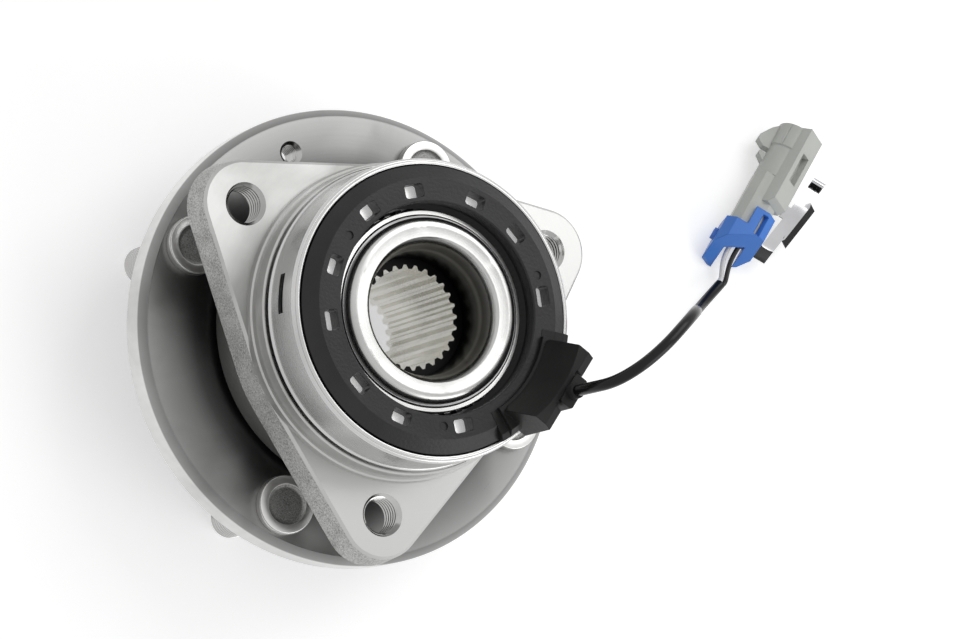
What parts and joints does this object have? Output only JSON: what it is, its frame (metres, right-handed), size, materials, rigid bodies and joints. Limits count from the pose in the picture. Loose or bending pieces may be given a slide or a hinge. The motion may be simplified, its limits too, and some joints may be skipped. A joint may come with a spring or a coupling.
{
  "type": "wheel hub bearing",
  "caption": "Flanged wheel hub bearing with wheel studs, splined bore, lobed knuckle flange and a windowed wheel speed sensor ring on a short cable with a plug.",
  "frame": {"origin": "centre of the wheel mounting face, on the hub axis", "axes": "+Z along the hub axis towards the knuckle; +X through the middle of the sensor terminal block; the part stands on its stud tips"},
  "size_m": [0.1888, 0.2377, 0.1399],
  "materials": {
    "machined_steel": "machined, with fine turning marks",
    "plated_stud": "zinc plated",
    "bearing_steel": "ground",
    "forged_ring": "machined faces on a forging with grainy sides",
    "ball_steel": "polished",
    "cage_nylon": "moulded",
    "pressed_steel": "pressed",
    "seal_rubber": "matt",
    "sintered_iron": "oiled",
    "drawn_steel": "drawn and plated",
    "black_moulding": "moulded, glass filled",
    "pole_steel": "stamped",
    "magnet": "pressed",
    "coil_copper": "wound and potted",
    "cable_jacket": "glossy",
    "wire_white": "insulation",
    "wire_black": "insulation",
    "grey_moulding": "moulded",
    "blue_moulding": "moulded",
    "plug_seal_rubber": "soft",
    "tinned_brass": "tinned",
    "clip_steel": "bright spring steel"
  },
  "bodies": {
    "carrier": {"outer_ring": "forged_ring", "outboard_seal_case": "pressed_steel", "outboard_seal_lips": "seal_rubber", "inboard_seal_case": "pressed_steel", "inboard_seal_lips": "seal_rubber", "sensor_cap": "drawn_steel", "sensor_ring": "black_moulding", "pole_ring": "pole_steel", "sensor_magnet": "magnet", "sensor_coil": "coil_copper", "terminal_block": "black_moulding", "cable_grommet": "seal_rubber", "cable": "cable_jacket", "wire_white": "wire_white", "wire_black": "wire_black", "plug_body": "grey_moulding", "plug_lock": "blue_moulding", "plug_seal": "plug_seal_rubber", "plug_terminals": "tinned_brass", "plug_clip": "clip_steel"},
    "hub": {"wheel_hub": "machined_steel", "wheel_studs": "plated_stud", "inner_ring": "bearing_steel", "inboard_slinger": "pressed_steel", "tone_ring": "sintered_iron"},
    "outboard_row": {"balls_outboard": "ball_steel", "cage_outboard": "cage_nylon"},
    "inboard_row": {"balls_inboard": "ball_steel", "cage_inboard": "cage_nylon"}
  },
  "joints": [
    {"name": "hub_spin", "type": "hinge", "parent": "carrier", "child": "hub", "pos_m": [0, 0, 0.03], "axis": [0, 0, 1], "continuous": true},
    {"name": "outboard_row_spin", "type": "hinge", "parent": "carrier", "child": "outboard_row", "pos_m": [0, 0, 0.0226], "axis": [0, 0, 1], "continuous": true},
    {"name": "inboard_row_spin", "type": "hinge", "parent": "carrier", "child": "inboard_row", "pos_m": [0, 0, 0.0374], "axis": [0, 0, 1], "continuous": true}
  ],
  "couplings": [
    {"joint": "outboard_row_spin", "follows": "hub_spin", "ratio": 0.431},
    {"joint": "inboard_row_spin", "follows": "hub_spin", "ratio": 0.431}
  ]
}
